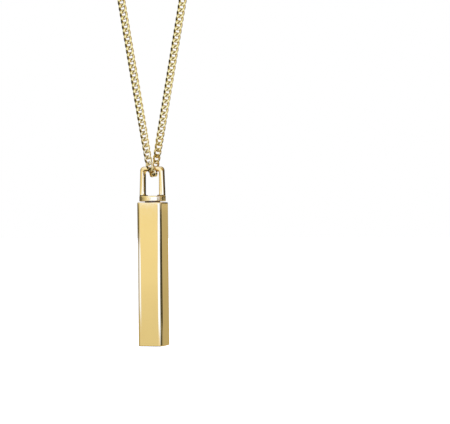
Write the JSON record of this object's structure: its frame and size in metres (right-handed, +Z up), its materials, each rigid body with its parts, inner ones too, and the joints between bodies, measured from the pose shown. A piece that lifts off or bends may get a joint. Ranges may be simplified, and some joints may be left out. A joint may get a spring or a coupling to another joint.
{
  "type": "tube pendant",
  "caption": "Slim square tube pendant with a screw cap and an arched bail, hanging on a fine curb chain.",
  "frame": {"origin": "the inner side of the loop at its top, under the clasp, where the necklace hangs", "axes": "+Z up along the hanging loop, the viewer in front looks along +Y, +X to the viewer's right"},
  "size_m": [0.0602, 0.0059, 0.2394],
  "materials": {
    "chain_gold": "polished gold-coloured curb links",
    "clasp_gold": "polished gold-coloured metal",
    "bail_gold": "polished gold-coloured metal, turned and milled",
    "tube_gold": "polished gold-coloured metal with soft edges"
  },
  "bodies": {
    "necklace": {"chain": "chain_gold", "clasp": "clasp_gold"},
    "bail": {"bail": "bail_gold"},
    "tube": {"tube": "tube_gold"}
  },
  "joints": [
    {"name": "pendant_swing", "type": "hinge", "parent": "necklace", "child": "bail", "pos_m": [0, 0, -0.20241], "axis": [0.9612, -0.2756, 0.0096], "range_deg": [-90, 90]},
    {"name": "tube_unscrew", "type": "hinge", "parent": "bail", "child": "tube", "pos_m": [0.00006, -0.00002, -0.20891], "axis": [0.0092, -0.0026, -1], "range_deg": [0, 1485]}
  ]
}
